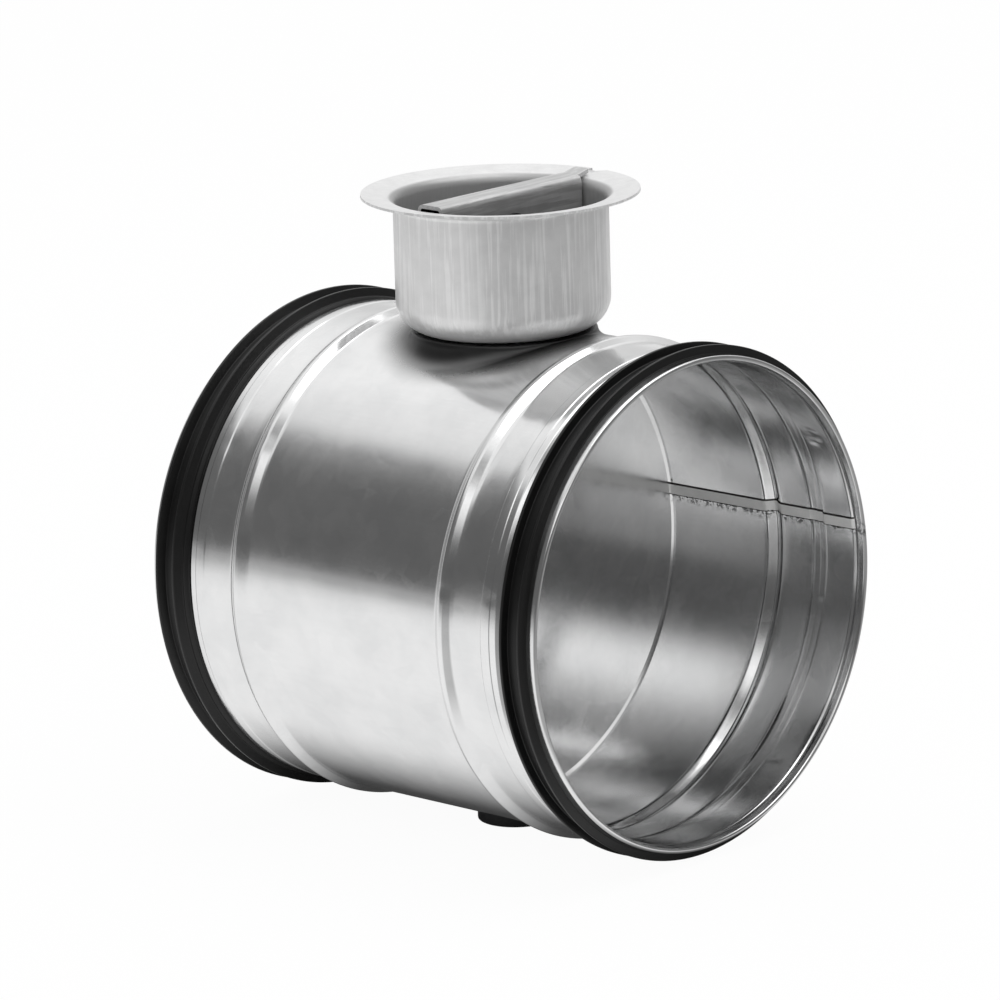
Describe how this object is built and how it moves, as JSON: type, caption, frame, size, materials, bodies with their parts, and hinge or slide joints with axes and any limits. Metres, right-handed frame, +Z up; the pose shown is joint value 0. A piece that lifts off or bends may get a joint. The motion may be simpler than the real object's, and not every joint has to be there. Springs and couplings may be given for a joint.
{
  "type": "volume control damper",
  "caption": "round duct volume control damper with a flat blade on a spindle, a raised cup with a folded handle, and double-lip rubber gaskets on both spigots",
  "frame": {"origin": "centre of the round foot under the casing, on the surface the part stands on, below the crossing of the duct axis and the spindle axis", "axes": "+X along the duct towards the outlet, +Z up along the spindle towards the handle, +Y across"},
  "size_m": [0.168, 0.1652, 0.2095],
  "materials": {
    "galvanised": "hot-dip galvanised steel sheet with fine spangle",
    "drawn_steel": "deep-drawn zinc-coated sheet, satin",
    "epdm": "black EPDM rubber, smooth",
    "black_nylon": "black glass-filled nylon",
    "zinc_plated": "bright zinc-plated steel",
    "black_oxide": "black oxide steel",
    "spring_steel": "phosphated spring steel"
  },
  "bodies": {
    "casing": {"casing": "galvanised", "outlet_gasket": "epdm", "inlet_gasket": "epdm", "cup": "drawn_steel", "cup_rivets": "zinc_plated", "stop_pin": "zinc_plated", "upper_bush": "black_nylon", "lower_bush": "black_nylon", "bush_clips": "spring_steel", "spindle_seal": "epdm"},
    "blade": {"blade": "galvanised", "spindle": "zinc_plated", "pivot": "zinc_plated", "spindle_strap": "galvanised", "pivot_strap": "galvanised", "blade_rivets": "zinc_plated", "stop_plate": "zinc_plated", "spring_washer": "spring_steel", "retaining_ring": "spring_steel", "handle": "drawn_steel", "handle_screw": "black_oxide", "handle_washer": "zinc_plated", "handle_nut": "zinc_plated"}
  },
  "joints": [
    {"name": "blade_turn", "type": "hinge", "parent": "casing", "child": "blade", "pos_m": [0, 0, 0.084], "axis": [0, 0, 1], "range_deg": [0, 90]}
  ]
}
